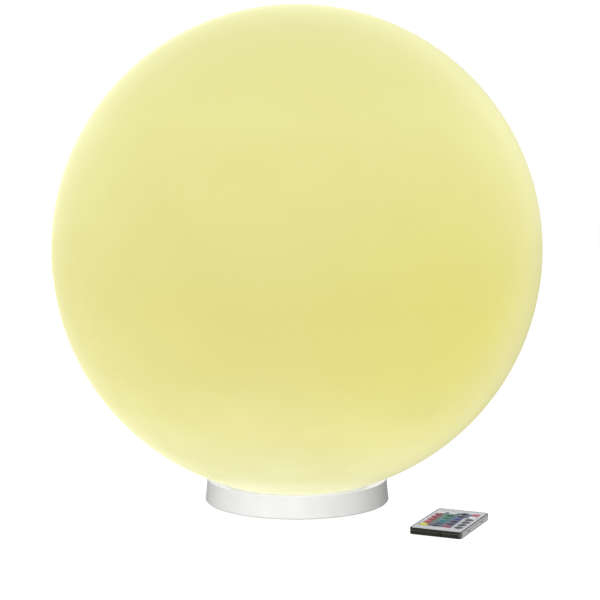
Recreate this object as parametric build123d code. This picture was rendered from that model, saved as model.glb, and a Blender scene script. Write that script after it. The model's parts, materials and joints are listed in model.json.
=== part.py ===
from build123d import *
import math
import os

# A garden globe light: a moulded polyethylene ball that twists onto a low tapered foot, with the light unit,
# battery and control board standing inside it, and the flat 24-key hand remote that sets its colour and
# level. Millimetres. +Z is up, -Y is the front, and the origin is on the floor under the middle of the ball.

# ---- Driving dimensions: ball ------------------------------------------------------------------------------
globe_radius = 250.0
globe_wall = 3.5
globe_gap = 9.3             # floor to the point where the ball's underside would close
neck_radius = 70.0          # outside of the neck that hangs from the ball into the foot
neck_wall = 3.5
neck_clearance = 0.4        # neck's end to the deck below it
neck_fillet = 3.0
lug_count = 3
lug_arc = 16.0              # degrees
lug_depth = 3.0             # how far a lug stands in from the neck's bore
lug_height = 3.5
lug_rise = 1.0              # neck's end to the underside of a lug
unlock_turn = 22.0          # degrees from locked to free

# ---- Driving dimensions: foot ------------------------------------------------------------------------------
rim_radius = 93.3           # outside of the foot at its top edge
base_draft = 5.6            # degrees the wall leans in
base_wall = 3.0
base_edge = 0.8             # bevel round the lower edge
pad_proud = 0.6             # how far the rubber pads lift the lower edge off the floor
rim_bevel = 0.5
rim_land = 17.3             # rim's outer corner to the gasket's groove
seat_lip = 1.5              # what is left inside the groove
seat_thickness = 4.2
seat_gap = 3.3              # shadow gap between the ball and the foot's coned top
gasket_width = 3.0
gasket_depth = 2.5
gasket_gap = 0.1
cover_lift = 1.6            # floor to the underside of the bottom cover
cover_thickness = 2.6
cover_gap = 0.45            # cover's edge to the foot's wall
cover_seal_thickness = 0.8
cover_seal_width = 3.0
cover_seal_margin = 3.8     # cover's edge to its seal
deck_thickness = 2.2
collar_clearance = 0.3      # collar to neck, and lug to slot
collar_back = 2.9           # wall left behind the slots
collar_height = 13.0
slot_end_play = 1.0         # degrees past each end of the turn
rib_count = 12
rib_thickness = 2.0
rib_bite = 0.5              # how far a rib runs up into the seat
rib_neck_gap = 4.0
cover_screw_count = 4
boss_radius = 4.0
boss_height = 5.0
boss_seal_gap = 3.0
pad_count = 4
pad_radius = 8.0
pad_margin = 4.8            # cover's edge to a pad
pad_recess = 0.6

# ---- Driving dimensions: fasteners -------------------------------------------------------------------------
screw_radius = 1.5
screw_head_radius = 2.8
screw_head_height = 1.3
screw_length = 8.0
flange_screw_length = 5.0
hole_play = 0.15            # clearance hole round a screw
head_play = 0.3
head_sink = 0.1             # how far a sunk head lies under the surface

# ---- Driving dimensions: light unit ------------------------------------------------------------------------
housing_bore = 47.5
housing_wall = 2.5
housing_height = 53.8       # deck to the top flange's face
flange_thickness = 2.2
flange_margin = 3.5         # screw's middle to the flange's edge
flange_screw_gap = 4.5      # housing's wall to a screw's middle
flange_screw_count = 3
housing_seal_width = 1.8
housing_seal_depth = 1.2
top_flange_thickness = 2.5
top_flange_margin = 3.6
dome_screw_count = 3
dome_boss_radius = 3.2
dome_boss_gap = 0.2         # how little a boss stands off the housing's wall
dome_boss_drop = 8.5
dome_seal_thickness = 0.8
dome_seal_width = 2.2
dome_radius = 48.5
dome_wall = 2.0
dome_shoulder = 9.0
dome_height = 32.0
dome_flange_thickness = 2.2
spreader_thickness = 2.0
spreader_play = 0.2
ledge_width = 2.0
ledge_thickness = 1.5
led_board_radius = 44.0
led_board_thickness = 1.6
led_size = 5.0
led_height = 1.6
led_inner_circle = 18.0
led_inner_count = 6
led_outer_circle = 35.0
led_outer_count = 12
lead_hole_radius = 3.5
lead_hole_offset = 26.0
receiver_width = 6.0
receiver_depth = 5.0
receiver_height = 6.5
receiver_lens = 2.2

# ---- Driving dimensions: battery and boards ----------------------------------------------------------------
cell_radius = 9.2
cell_length = 65.0
cell_pitch = 18.8
cell_count = 3
cell_nub_radius = 2.8
cell_nub_height = 0.9
cell_play = 0.2
cradle_lift = 16.0          # bottom cover to the cradle
cradle_floor = 1.2
cradle_depth = 6.5          # how deep the cells sit
cradle_wall = 1.1
leg_radius = 3.0
leg_inset = 5.0
socket_wall = 1.2
socket_height = 2.0
socket_play = 0.15
post_radius = 2.6
post_spread = 22.0
post_offset = 3.6           # cradle's side to a post's centre
post_height = 13.4          # cells' middle to the board
board_width = 56.0
board_thickness = 1.6
board_margin = 3.4
plug_width = 7.0
plug_depth = 5.0
plug_height = 5.0
plug_spread = 9.0
plug_inset = 7.0            # board's edge to a plug's middle
inductor_width = 11.0
inductor_height = 5.0
inductor_x = -12.0
inductor_y = -6.0
controller_width = 10.0
controller_depth = 7.0
controller_height = 1.7
controller_x = 8.0
controller_y = 4.0
capacitor_radius = 4.0
capacitor_height = 7.0
capacitor_spread = 6.0
capacitor_y = -18.0
transistor_count = 4
transistor_width = 5.5
transistor_depth = 6.5
transistor_height = 2.3
transistor_pitch = 8.0
transistor_y = 17.0
cable_radius = 1.3
cable_bend = 2.0
cable_rise = 4.0            # straight run out of a plug
cable_offset = 38.0         # where the long leads run down beside the cradle
cable_side = 12.0

# ---- Driving dimensions: switch, socket and tell-tale ------------------------------------------------------
control_spread = 20.0       # middle of the cover to the button, and to the socket
bezel_radius = 7.5
bezel_thickness = 1.2
pocket_depth = 1.4
pocket_play = 0.5
barrel_radius = 6.0
barrel_length = 11.0
barrel_play = 0.15
nut_across_flats = 14.0
nut_thickness = 2.5
button_radius = 4.2
button_play = 0.2
button_proud = 0.5
button_length = 5.3
button_edge = 0.5
button_travel = 1.2
jack_bore = 3.15
jack_bore_depth = 9.0
jack_pin_radius = 1.0
jack_pin_recess = 2.5
cap_play = 0.1              # cap's face to the socket's
cap_stem_play = 0.2
cap_stem_length = 4.0
cap_tab_length = 4.0
cap_tab_width = 5.0
guide_radius = 1.5          # tell-tale's light guide
guide_offset = 16.0
guide_length = 5.0
guide_flange = 1.0
guide_flange_thickness = 0.8

# ---- Driving dimensions: hand remote -----------------------------------------------------------------------
remote_x = 148.0            # middle of the remote on the floor
remote_y = -121.0
remote_turn = -24.5         # degrees from pointing straight back
remote_width = 52.0
remote_length = 86.0
remote_corner = 3.5
remote_thickness = 6.6
parting_height = 4.1        # joint between the two case halves
parting_bevel = 0.25        # each half's share of the groove round the joint
case_wall = 1.2
case_floor = 0.8
case_edge = 0.4
film_recess = 0.45
film_thickness = 0.35
film_play = 0.1
rim_width = 1.2
ledge_depth = 0.55          # thickness of the ledge and bars that carry the film
ledge_reach = 2.0
row_bar = 0.9
column_bar = 1.4
pcb_thickness = 0.6
pcb_play = 1.3
pcb_lift = 4.0
rest_radius = 1.4
rest_inset = 3.5
rest_spread = 38.0
clamp_width = 1.5
clamp_length = 3.0
hook_spread = 20.0
hook_width = 5.0
hook_play = 0.1
hook_thickness = 0.8
hook_drop = 1.4
tooth_height = 0.6
tooth_reach = 0.6
snap_radius = 3.2
snap_height = 0.25
key_columns = 4
key_rows = 6
key_side_margin = 8.6       # case's side to the middle of the outer column
key_near_margin = 17.7      # case's near end to the middle of the nearest row
key_far_margin = 14.8       # case's far end to the middle of the farthest row
key_column_pitch = (remote_width - 2 * key_side_margin) / (key_columns - 1)
key_row_pitch = (remote_length - key_near_margin - key_far_margin) / (key_rows - 1)
key_first_row = key_near_margin - remote_length / 2
key_radius = 4.15
key_play = 0.15             # key to the film round it
key_ear_reach = 0.5
key_ear_width = 1.6
key_ear_height = 0.4
key_proud = 0.8
key_crown = 0.4             # bevel round the crown
key_travel = 0.3
key_rest_gap = 0.05         # pressed key to its snap dome
coin_radius = 10.0
coin_thickness = 2.5
coin_play = 0.2
tray_margin = 20.2          # case's side to the tray's middle line
tray_x = tray_margin - remote_width / 2
tray_width = 24.0
tray_length = 24.5
tray_floor = 0.4
tray_end_wall = 1.3
tray_end_height = 3.15
tray_lift = 0.05            # running clearance over the case floor
tray_side_play = 0.15
tray_lip = 1.6              # width of the floor left under the cell's edge
notch_radius = 1.6
contact_thickness = 0.2
contact_width = 4.0
contact_reach = 9.5
contact_gap = 0.05
emitter_radius = 1.5
emitter_length = 5.0
emitter_sink = 0.3
emitter_height = 2.45
emitter_play = 0.1
lead_thickness = 0.5
lead_reach = 1.5
lead_spread = 1.27

# ---- Heights and radii that follow -------------------------------------------------------------------------
globe_centre = globe_gap + globe_radius
cover_top = cover_lift + cover_thickness
deck_bottom = cover_top + cover_seal_thickness
deck_top = deck_bottom + deck_thickness
neck_bottom = deck_top + neck_clearance
neck_bore = neck_radius - neck_wall
collar_radius = neck_bore - collar_clearance
lug_bottom = neck_bottom + lug_rise
lug_top = lug_bottom + lug_height
collar_inner_radius = neck_bore - lug_depth - collar_clearance - collar_back
housing_radius = housing_bore + housing_wall
flange_screw_circle = housing_radius + flange_screw_gap
flange_radius = flange_screw_circle + flange_margin
dome_screw_circle = housing_radius + dome_boss_gap + dome_boss_radius
top_flange_radius = dome_screw_circle + top_flange_margin
housing_top = deck_top + housing_height
dome_bottom = housing_top + dome_seal_thickness
dome_flange_top = dome_bottom + dome_flange_thickness
spreader_bottom = housing_top - spreader_thickness
led_board_top = housing_top + led_board_thickness
cradle_bottom = cover_top + cradle_lift
cell_axis = cradle_bottom + cradle_floor + cell_play + cell_radius
cradle_top = cradle_bottom + cradle_floor + cradle_depth
cradle_half_length = cell_length / 2 + cell_nub_height + cell_play + cradle_wall
cradle_half_width = (cell_count - 1) * cell_pitch / 2 + cell_radius + cell_play
post_y = cradle_half_width + post_offset
board_bottom = cell_axis + post_height
board_top = board_bottom + board_thickness
board_half_depth = post_y + board_margin
plug_y = board_half_depth - plug_inset
control_mouth = cover_lift + pocket_depth
barrel_top = control_mouth + barrel_length

film_bottom = remote_thickness - film_recess
ledge_bottom = film_bottom - ledge_depth
pcb_top = pcb_lift + pcb_thickness
key_bottom = pcb_top + snap_height + key_travel + key_rest_gap
key_top = film_bottom + film_thickness + key_proud
tray_bottom = case_floor + tray_lift
coin_bottom = tray_bottom + tray_floor
coin_top = coin_bottom + coin_thickness
tray_front = -remote_length / 2
coin_y = tray_front + tray_end_wall + coin_play + coin_radius

key_names = (               # nearest row first, left to right
    ("yellow", "navy", "magenta", "smooth"),
    ("orange", "steel_blue", "purple", "fade"),
    ("red_orange", "teal", "indigo", "strobe"),
    ("scarlet", "leaf_green", "violet", "flash"),
    ("red", "green", "blue", "white"),
    ("brighter", "dimmer", "off", "on"),
)


def under_ball(radius, gap):
    """Height of the ball's underside, less a gap, at a distance from Z."""
    return globe_centre - math.sqrt((globe_radius + gap) ** 2 - radius**2)


rim_height = under_ball(rim_radius, seat_gap)
gasket_outer_radius = rim_radius - rim_land
gasket_inner_radius = gasket_outer_radius - gasket_width
gasket_floor = under_ball(gasket_inner_radius, seat_gap + gasket_depth)
seat_inner_radius = gasket_inner_radius - seat_lip


def under_seat(radius):
    """Height of the seat's underside at a distance from Z."""
    return under_ball(radius, seat_gap) - seat_thickness


def wall_radius(height):
    """Outside radius of the foot's leaning wall at a height."""
    return rim_radius + (rim_height - height) * math.tan(math.radians(base_draft))


cover_radius = wall_radius(cover_top) - base_wall - cover_gap
cover_seal_radius = cover_radius - cover_seal_margin
cover_screw_circle = cover_seal_radius - cover_seal_width - boss_seal_gap - boss_radius
pad_circle = cover_radius - pad_margin - pad_radius


def ring(outer, inner, bottom, top):
    """A flat-ended tube about Z."""
    return Pos(0, 0, bottom) * extrude(Circle(outer) - Circle(inner), top - bottom)


def disc(radius, bottom, top):
    """A flat-ended cylinder about Z."""
    return Pos(0, 0, bottom) * extrude(Circle(radius), top - bottom)


def turned(*corners):
    """A solid of revolution about Z from its (radius, height) corners."""
    return revolve(Plane.XZ * make_face(Polyline(*corners, close=True)), Axis.Z)


def sector(inner, outer, bottom, top, start, arc):
    """A curved block about Z that begins at an angle and spans an arc, in degrees."""
    section = Pos((inner + outer) / 2, (bottom + top) / 2) * Rectangle(outer - inner, top - bottom)
    return Rot(0, 0, start) * revolve(Plane.XZ * section, Axis.Z, arc)


def block(width, depth, bottom, top):
    """A rectangular block centred on Z."""
    return Pos(0, 0, bottom) * extrude(Rectangle(width, depth), top - bottom)


def around(count, radius, start=0.0):
    """Evenly spaced places on a circle about Z."""
    return list(PolarLocations(radius, count, start))


def grid(spread_x, spread_y):
    """The four places at plus and minus two distances."""
    return list(GridLocations(2 * spread_x, 2 * spread_y, 2, 2))


def at_each(places, shape):
    """Separate copies of one shape, as a group."""
    return Compound(children=[place * shape for place in places])


def less(shape, tools):
    """The shape with every tool cut out of it."""
    for tool in tools:
        shape -= tool
    return shape


def plus(shape, additions):
    """The shape with every addition joined to it."""
    for addition in additions:
        shape += addition
    return shape


def pan_screw(length):
    """A self-tapping screw on Z, head up, with the head's underside at zero."""
    return disc(screw_head_radius, 0, screw_head_height) + disc(screw_radius, -length, 0)


def cable(*points):
    """An eight-sided cable along straight runs joined by tangent arcs."""
    path = FilletPolyline(*points, radius=cable_bend)
    return sweep(Plane(path @ 0, z_dir=path % 0) * RegularPolygon(cable_radius, 8), path=path)


# ---- Ball --------------------------------------------------------------------------------------------------
def make_globe():
    """Rotationally moulded ball with a hanging neck and three bayonet lugs inside it."""
    inner_radius = globe_radius - globe_wall
    outer_foot = under_ball(neck_radius, 0)
    inner_foot = under_ball(neck_bore, -globe_wall)
    outer_top = globe_centre + globe_radius
    outside = ThreePointArc((0, outer_top), (globe_radius, globe_centre), (neck_radius, outer_foot))
    corners = ((neck_radius, neck_bottom), (neck_bore, neck_bottom), (neck_bore, inner_foot))
    neck = Polyline(outside @ 1, *corners)
    inside = ThreePointArc(neck @ 1, (inner_radius, globe_centre), (0, outer_top - globe_wall))
    section = make_face([outside, neck, inside, Line(inside @ 1, outside @ 0)])
    shell = revolve(Plane.XZ * section, Axis.Z)
    corner = shell.edges().filter_by(GeomType.CIRCLE).filter_by(
        lambda edge: abs(edge.radius - neck_radius) < 1e-3 and abs(edge.center().Z - outer_foot) < 1e-3
    )
    shell = fillet(corner, neck_fillet)
    lug = sector(neck_bore - lug_depth, neck_bore + neck_wall / 2, lug_bottom, lug_top, -lug_arc / 2, lug_arc)
    return plus(shell, [place * lug for place in around(lug_count, 0)])


# ---- Foot --------------------------------------------------------------------------------------------------
def bayonet_slots():
    """L-shaped slots in the collar: down from its top, then round to where the lugs lock."""
    floor_radius = neck_bore - lug_depth - collar_clearance
    half = lug_arc / 2 + slot_end_play
    outer = collar_radius + collar_clearance
    run_bottom = lug_bottom - collar_clearance
    run = sector(floor_radius, outer, run_bottom, lug_top + collar_clearance, -half, unlock_turn + 2 * half)
    above = deck_top + 2 * collar_height
    entry = sector(floor_radius, outer, run_bottom, above, unlock_turn - half, 2 * half)
    return [place * (run + entry) for place in around(lug_count, 0)]


def make_base_shell():
    """Tapered foot: leaning wall, coned seat with a groove, deck, ribs, screw bosses and bayonet collar."""
    corner_radius = rim_radius - base_wall
    skirt = turned(
        (wall_radius(pad_proud) - base_edge, pad_proud),
        (wall_radius(pad_proud + base_edge), pad_proud + base_edge),
        (wall_radius(rim_height - rim_bevel), rim_height - rim_bevel),
        (rim_radius - rim_bevel, under_ball(rim_radius - rim_bevel, seat_gap)),
        (gasket_outer_radius, under_ball(gasket_outer_radius, seat_gap)),
        (gasket_outer_radius, gasket_floor),
        (gasket_inner_radius, gasket_floor),
        (gasket_inner_radius, under_ball(gasket_inner_radius, seat_gap)),
        (seat_inner_radius, under_ball(seat_inner_radius, seat_gap)),
        (seat_inner_radius, under_seat(seat_inner_radius)),
        (corner_radius, under_seat(corner_radius)),
        (wall_radius(pad_proud) - base_wall, pad_proud),
    )
    rib_inner = neck_radius + rib_neck_gap
    rib_outer = rim_radius - base_wall / 2
    rib_corners = (
        (rib_inner, deck_bottom),
        (rib_outer, deck_bottom),
        (rib_outer, under_seat(rib_outer) + rib_bite),
        (rib_inner, under_seat(rib_inner) + rib_bite),
    )
    rib = extrude(Plane.XZ * make_face(Polyline(*rib_corners, close=True)), rib_thickness / 2, both=True)
    deck = ring(wall_radius(deck_top) - base_wall / 2, housing_bore, deck_bottom, deck_top)
    collar = ring(collar_radius, collar_inner_radius, deck_bottom, deck_top + collar_height)
    shell = skirt + deck + less(collar, bayonet_slots())
    shell = plus(shell, [place * rib for place in around(rib_count, 0, 180 / rib_count)])
    boss = disc(boss_radius, deck_bottom, deck_top + boss_height)
    boss_bore = disc(screw_radius, deck_bottom, deck_top + boss_height)
    boss_places = around(cover_screw_count, cover_screw_circle)
    shell = plus(shell, [place * boss for place in boss_places])
    shell = less(shell, [place * boss_bore for place in boss_places])
    flange_places = around(flange_screw_count, flange_screw_circle)
    return less(shell, [place * disc(screw_radius, deck_bottom, deck_top) for place in flange_places])


def make_globe_gasket():
    """Soft ring in the rim's groove, with its top sloped to the ball."""
    return turned(
        (gasket_inner_radius, gasket_floor),
        (gasket_outer_radius, gasket_floor),
        (gasket_outer_radius, under_ball(gasket_outer_radius, gasket_gap)),
        (gasket_inner_radius, under_ball(gasket_inner_radius, gasket_gap)),
    )


def cap_pocket():
    """Shallow pocket for the socket's cap, with room for its pull tab."""
    tab_room = Pos(bezel_radius, 0, 0) * block(
        2 * (cap_tab_length + pocket_play), cap_tab_width + 2 * pocket_play, cover_lift, control_mouth
    )
    return disc(bezel_radius + pocket_play, cover_lift, control_mouth) + tab_room


def leg_places():
    """Where the battery cradle stands on the bottom cover."""
    return grid(cradle_half_length - leg_inset, cradle_half_width - leg_inset)


def make_bottom_cover():
    """Screwed plate that closes the foot and carries the button, socket, tell-tale, pads and battery."""
    plate = disc(cover_radius, cover_lift, cover_top)
    head_room = disc(screw_head_radius + head_play, cover_lift, cover_lift + screw_head_height + head_sink)
    screw_way = disc(screw_radius + hole_play, cover_lift, cover_top) + head_room
    plate = less(plate, [place * screw_way for place in around(cover_screw_count, cover_screw_circle)])
    pad_room = disc(pad_radius, cover_lift, cover_lift + pad_recess)
    plate = less(plate, [place * pad_room for place in around(pad_count, pad_circle, 45)])
    barrel_way = disc(barrel_radius + barrel_play, cover_lift, cover_top)
    button_way = barrel_way + disc(bezel_radius + pocket_play, cover_lift, control_mouth)
    plate -= Pos(-control_spread, 0, 0) * button_way
    plate -= Pos(control_spread, 0, 0) * (barrel_way + cap_pocket())
    plate -= Pos(0, -guide_offset, 0) * disc(guide_radius, cover_lift, cover_top)
    bore = leg_radius + socket_play
    socket = ring(bore + socket_wall, bore, cover_top, cover_top + socket_height)
    return plus(plate, [place * socket for place in leg_places()])


def make_cover_seal():
    """Flat ring between the bottom cover and the deck."""
    return ring(cover_seal_radius, cover_seal_radius - cover_seal_width, cover_top, deck_bottom)


def make_cover_screws():
    """Self-tapping screws driven up through the bottom cover."""
    head_top = cover_lift + screw_head_height + head_sink
    screw = Pos(0, 0, head_top - screw_head_height) * Rot(180, 0, 0) * pan_screw(screw_length)
    return at_each(around(cover_screw_count, cover_screw_circle), screw)


def make_rubber_feet():
    """Rubber pads that the light stands on."""
    pad = disc(pad_radius, 0, cover_lift + pad_recess)
    pad = chamfer(pad.edges().sort_by(Axis.Z)[0], pad_recess)
    return at_each(around(pad_count, pad_circle, 45), pad)


# ---- Light unit --------------------------------------------------------------------------------------------
def make_engine_housing():
    """Round can that stands on the deck, with a screwed flange below and a bossed flange above."""
    ledge = housing_bore - ledge_width
    can = turned(
        (housing_bore, deck_top),
        (housing_radius, deck_top),
        (housing_radius, deck_top + housing_seal_depth),
        (housing_radius + housing_seal_width, deck_top + housing_seal_depth),
        (housing_radius + housing_seal_width, deck_top),
        (flange_radius, deck_top),
        (flange_radius, deck_top + flange_thickness),
        (housing_radius, deck_top + flange_thickness),
        (housing_radius, housing_top - top_flange_thickness),
        (top_flange_radius, housing_top - top_flange_thickness),
        (top_flange_radius, housing_top),
        (housing_bore, housing_top),
        (housing_bore, spreader_bottom),
        (ledge, spreader_bottom),
        (ledge, spreader_bottom - ledge_thickness),
        (housing_bore, spreader_bottom - ledge_thickness - ledge_width),
    )
    way = disc(screw_radius + hole_play, deck_top, deck_top + flange_thickness)
    can = less(can, [place * way for place in around(flange_screw_count, flange_screw_circle)])
    boss_bottom = housing_top - top_flange_thickness - dome_boss_drop
    boss = disc(dome_boss_radius, boss_bottom, housing_top - top_flange_thickness)
    places = around(dome_screw_count, dome_screw_circle)
    can = plus(can, [place * boss for place in places])
    return less(can, [place * disc(screw_radius, boss_bottom, housing_top) for place in places])


def make_housing_seal():
    """Ring in the groove under the housing's flange."""
    return ring(housing_radius + housing_seal_width, housing_radius, deck_top, deck_top + housing_seal_depth)


def make_inner_screws():
    """The screws inside: in the housing's flange, in the dome's and in the control board."""
    short = Pos(0, 0, deck_top + flange_thickness) * pan_screw(flange_screw_length)
    dome = Pos(0, 0, dome_flange_top) * pan_screw(screw_length)
    board = Pos(0, 0, board_top) * pan_screw(screw_length)
    screws = [place * short for place in around(flange_screw_count, flange_screw_circle)]
    screws += [place * dome for place in around(dome_screw_count, dome_screw_circle)]
    screws += [place * board for place in grid(post_spread, post_y)]
    return Compound(children=screws)


def make_heat_spreader():
    """Aluminium disc under the light board, with a hole for the lead."""
    plate = disc(housing_bore - spreader_play, spreader_bottom, housing_top)
    return plate - Pos(0, lead_hole_offset, 0) * disc(lead_hole_radius, spreader_bottom, housing_top)


def make_led_board():
    """Round light board on the heat spreader."""
    return disc(led_board_radius, housing_top, led_board_top)


def make_leds():
    """Two circles of square light-emitting packages."""
    chip = block(led_size, led_size, led_board_top, led_board_top + led_height)
    inner = around(led_inner_count, led_inner_circle)
    outer = around(led_outer_count, led_outer_circle)
    return at_each(inner + outer, chip)


def make_ir_receiver():
    """Infra-red receiver at the middle of the light board, its round lens facing the front."""
    top = led_board_top + receiver_height
    body = block(receiver_width, receiver_depth, led_board_top, top)
    return body + Pos(0, -receiver_depth / 2, 0) * disc(receiver_lens, led_board_top, top)


def make_diffuser_dome():
    """Frosted cap over the light board, with a coned shoulder and a screwed flange."""
    top = dome_flange_top + dome_height
    shoulder = top - dome_shoulder
    crown = dome_radius - dome_shoulder
    inner = dome_radius - dome_wall
    cap = turned(
        (0, top),
        (crown, top),
        (dome_radius, shoulder),
        (dome_radius, dome_flange_top),
        (top_flange_radius, dome_flange_top),
        (top_flange_radius, dome_bottom),
        (inner, dome_bottom),
        (inner, shoulder),
        (crown - dome_wall / 2, top - dome_wall),
        (0, top - dome_wall),
    )
    way = disc(screw_radius + hole_play, dome_bottom, dome_flange_top)
    return less(cap, [place * way for place in around(dome_screw_count, dome_screw_circle)])


def make_dome_seal():
    """Flat ring between the housing and the dome."""
    inner = housing_bore + (housing_wall - dome_seal_width) / 2
    return ring(inner + dome_seal_width, inner, housing_top, dome_bottom)


# ---- Battery, boards and leads -----------------------------------------------------------------------------
def cell_rows():
    """The middle line of each cell, across the cradle."""
    return [(row - (cell_count - 1) / 2) * cell_pitch for row in range(cell_count)]


def make_battery_cells():
    """Round lithium cells lying side by side, alternate ends forward."""
    nub = Pos(0, 0, (cell_length + cell_nub_height) / 2) * Cylinder(cell_nub_radius, cell_nub_height)
    cell = Cylinder(cell_radius, cell_length) + nub
    rows = enumerate(cell_rows())
    return at_each([Pos(0, y, cell_axis) * Rot(0, 90 * (-1) ** row, 0) for row, y in rows], cell)


def make_battery_cradle():
    """Troughed tray on four legs, with four posts that carry the control board."""
    tray = block(2 * cradle_half_length, 2 * cradle_half_width, cradle_bottom, cradle_top)
    room = Rot(0, 90, 0) * Cylinder(cell_radius + cell_play, 2 * (cradle_half_length - cradle_wall))
    tray = less(tray, [Pos(0, y, cell_axis) * room for y in cell_rows()])
    leg = disc(leg_radius, cover_top, cradle_bottom + cradle_floor / 2)
    tray = plus(tray, [place * leg for place in leg_places()])
    arm = block(2 * post_radius, 2 * post_offset, cradle_bottom, cradle_bottom + cradle_floor)
    post = disc(post_radius, cradle_bottom, board_bottom)
    pilot = disc(screw_radius, board_top - screw_length, board_bottom)
    for place in grid(post_spread, cradle_half_width):
        tray += place * arm
    for place in grid(post_spread, post_y):
        tray += place * post
        tray -= place * pilot
    return tray


def make_control_board():
    """Charging and dimming board on the cradle's posts."""
    plate = block(board_width, 2 * board_half_depth, board_bottom, board_top)
    way = disc(screw_radius + hole_play, board_bottom, board_top)
    return less(plate, [place * way for place in grid(post_spread, post_y)])


def make_board_parts():
    """Inductor, capacitors, controller, transistors and four lead plugs on the control board."""
    def chips(places, width, depth, height):
        return [Pos(0, 0, board_top) * place * block(width, depth, 0, height) for place in places]

    middle = [Pos(controller_x, controller_y)]
    controller = chips(middle, controller_width, controller_depth, controller_height)
    inductor = chips([Pos(inductor_x, inductor_y)], inductor_width, inductor_width, inductor_height)
    row = [Pos(0, transistor_y) * place for place in GridLocations(transistor_pitch, 0, transistor_count, 1)]
    transistors = chips(row, transistor_width, transistor_depth, transistor_height)
    plugs = chips(grid(plug_spread, plug_y), plug_width, plug_depth, plug_height)
    can = disc(capacitor_radius, board_top, board_top + capacitor_height)
    capacitors = [Pos(x, capacitor_y) * can for x in (-capacitor_spread, capacitor_spread)]
    return Compound(children=[*inductor, *controller, *transistors, *plugs, *capacitors])


def make_leads():
    """Leads from the control board to the light board, battery, charging socket and button."""
    plug_top = board_top + plug_height
    over = plug_top + cable_rise
    under = barrel_top + cable_rise
    light = cable(
        (-plug_spread, plug_y, plug_top),
        (-plug_spread, plug_y, over),
        (0, lead_hole_offset, over),
        (0, lead_hole_offset, housing_top),
    )
    battery = cable(
        (plug_spread, plug_y, plug_top),
        (plug_spread, plug_y, over),
        (cable_offset, cable_side, over),
        (cable_offset, cable_side, cradle_top - 2 * cable_radius),
        (cradle_half_length, cable_side, cradle_top - 2 * cable_radius),
    )
    controls = [
        cable(
            (side * control_spread, 0, barrel_top),
            (side * control_spread, 0, under),
            (side * cable_offset, -cable_side, under),
            (side * cable_offset, -cable_side, over),
            (side * plug_spread, -plug_y, over),
            (side * plug_spread, -plug_y, plug_top),
        )
        for side in (-1, 1)
    ]
    return Compound(children=[light, battery, *controls])


# ---- Button, socket and tell-tale --------------------------------------------------------------------------
def control_body(bore, bore_top):
    """Bezel below the cover, barrel through it and a nut above, bored from below."""
    bezel = disc(bezel_radius, control_mouth - bezel_thickness, control_mouth)
    nut = extrude(RegularPolygon(nut_across_flats / 2, 6, major_radius=False), nut_thickness)
    body = bezel + disc(barrel_radius, control_mouth, barrel_top) + Pos(0, 0, cover_top) * nut
    return body - disc(bore, 0, bore_top)


def make_power_switch():
    """Sealed push-button switch."""
    bore_top = cover_lift - button_proud + button_length + button_travel + button_play
    return Pos(-control_spread, 0, 0) * control_body(button_radius + button_play, bore_top)


def make_power_button():
    """Round push button with a bevelled edge."""
    low = cover_lift - button_proud
    plunger = disc(button_radius, low, low + button_length)
    return Pos(-control_spread, 0, 0) * chamfer(plunger.edges().sort_by(Axis.Z)[0], button_edge)


def make_charge_jack():
    """Charging socket with a centre pin."""
    bore_top = control_mouth + jack_bore_depth
    body = disc(barrel_radius, control_mouth, barrel_top) - disc(jack_bore, control_mouth, bore_top)
    flats = RegularPolygon(nut_across_flats / 2, 6, major_radius=False) - Circle(barrel_radius)
    pin = disc(jack_pin_radius, control_mouth + jack_pin_recess, bore_top)
    return Pos(control_spread, 0, 0) * (body + Pos(0, 0, cover_top) * extrude(flats, nut_thickness) + pin)


def make_jack_cap():
    """Soft cap whose hollow stem plugs the charging socket, with a pull tab."""
    top = control_mouth - cap_play
    bottom = top - bezel_thickness
    tab = Pos(bezel_radius, 0, 0) * block(2 * cap_tab_length, cap_tab_width, bottom, top)
    stem = ring(jack_bore - cap_stem_play, jack_pin_radius + cap_stem_play, top, top + cap_stem_length)
    return Pos(control_spread, 0, 0) * (disc(bezel_radius, bottom, top) + tab + stem)


def make_charge_light():
    """Clear light guide that shows charging from below."""
    guide = disc(guide_radius, cover_lift, cover_lift + guide_length)
    flange = disc(guide_radius + guide_flange, cover_top, cover_top + guide_flange_thickness)
    return Pos(0, -guide_offset, 0) * (guide + flange)


# ---- Hand remote, in its own frame: +Y towards its sending end, underside at zero --------------------------
def case_block(inset, bottom, top):
    """The remote's rounded outline, drawn in by an inset, between two heights."""
    outline = RectangleRounded(remote_width - 2 * inset, remote_length - 2 * inset, remote_corner - inset)
    return Pos(0, 0, bottom) * extrude(outline, top - bottom)


def key_places():
    """Key middles by row, nearest row first, left to right."""
    columns = [(column - (key_columns - 1) / 2) * key_column_pitch for column in range(key_columns)]
    return [[Pos(x, key_first_row + row * key_row_pitch, 0) for x in columns] for row in range(key_rows)]


def every_key(shape):
    """A copy of a shape at every key."""
    return [place * shape for row in key_places() for place in row]


def rest_places():
    """Where the lower case carries the circuit board."""
    x = remote_width / 2 - case_wall - rest_inset
    return [Pos(side * x, y, 0) for side in (-1, 1) for y in (-rest_spread, 0, rest_spread)]


def emitter_way():
    """The round hole in the far end for the emitter."""
    hole = Rot(90, 0, 0) * Cylinder(emitter_radius + emitter_play, 4 * case_wall)
    return Pos(0, remote_length / 2, emitter_height) * hole


def snap_windows():
    """Slots in the side walls that the upper case's teeth catch in."""
    top = parting_height - hook_drop + tooth_height + hook_play
    window = block(4 * case_wall, hook_width + 2 * hook_play, parting_height - hook_drop - hook_play, top)
    return [place * window for place in grid(remote_width / 2, hook_spread)]


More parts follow.
